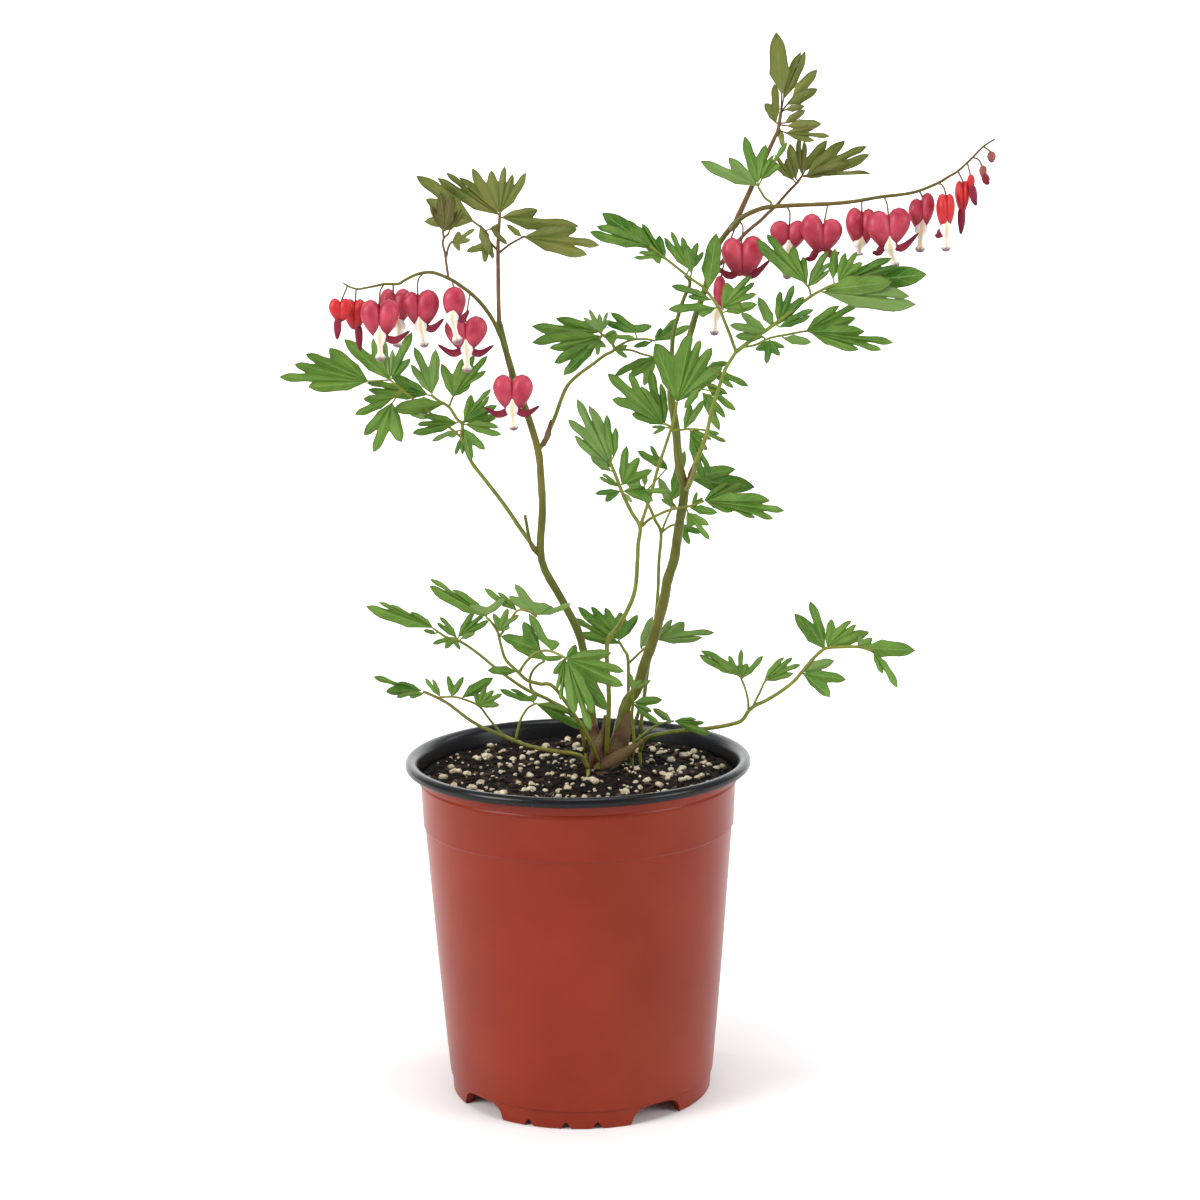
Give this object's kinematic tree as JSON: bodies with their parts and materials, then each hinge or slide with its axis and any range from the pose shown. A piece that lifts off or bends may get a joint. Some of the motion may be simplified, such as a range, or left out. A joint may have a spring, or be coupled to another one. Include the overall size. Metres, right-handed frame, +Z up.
{
  "type": "bleeding heart plant in a nursery pot",
  "caption": "Bleeding heart plant with arching canes, lobed leaves and hanging pink heart blooms, growing in a round terracotta-red nursery pot.",
  "frame": {"origin": "centre of the pot's base, on the ground", "axes": "+Z up along the pot's axis, -Y towards the front of the plant"},
  "size_m": [0.3298, 0.165, 0.5003],
  "materials": {
    "pot": "satin",
    "soil": "matte",
    "cane": "satin",
    "leaf": "matte",
    "young_leaf": "matte",
    "heart": "satin",
    "red_heart": "satin",
    "inner_petal": "satin"
  },
  "bodies": {
    "root": {"back_cluster": "leaf", "bloom_01": "red_heart", "bloom_02": "red_heart", "bloom_03": "heart", "bloom_03_inner": "inner_petal", "bloom_04": "heart", "bloom_04_inner": "inner_petal", "bloom_05": "heart", "bloom_05_inner": "inner_petal", "bloom_06": "heart", "bloom_06_inner": "inner_petal", "bloom_07": "heart", "bloom_07_inner": "inner_petal", "bloom_08": "heart", "bloom_08_inner": "inner_petal", "bloom_09": "heart", "bloom_10": "heart", "bloom_10_inner": "inner_petal", "bloom_11": "heart", "bloom_11_inner": "inner_petal", "bloom_12": "heart", "bloom_13": "heart", "bloom_13_inner": "inner_petal", "bloom_14": "heart", "bloom_14_inner": "inner_petal", "bloom_15": "heart", "bloom_15_inner": "inner_petal", "bloom_16": "red_heart", "bloom_16_inner": "inner_petal", "bloom_17": "red_heart", "bloom_18": "red_heart", "bloom_19": "red_heart", "bloom_20": "red_heart", "centre_leaf": "leaf", "crown_tuft": "leaf", "dark_leaf": "leaf", "elbow_sprig": "young_leaf", "left_cane": "cane", "left_front_leaf": "leaf", "left_leaf": "leaf", "left_raceme": "cane", "left_shoot": "young_leaf", "low_left_leaf": "leaf", "low_top_leaf": "leaf", "mid_left_leaf": "leaf", "pot": "pot", "right_cane": "cane", "right_raceme": "cane", "right_rim_leaf": "leaf", "right_upper_leaf": "leaf", "rim_leaf": "leaf", "second_centre_leaf": "leaf", "second_cluster": "young_leaf", "soil": "soil", "top_shoot": "young_leaf"}
  },
  "joints": []
}
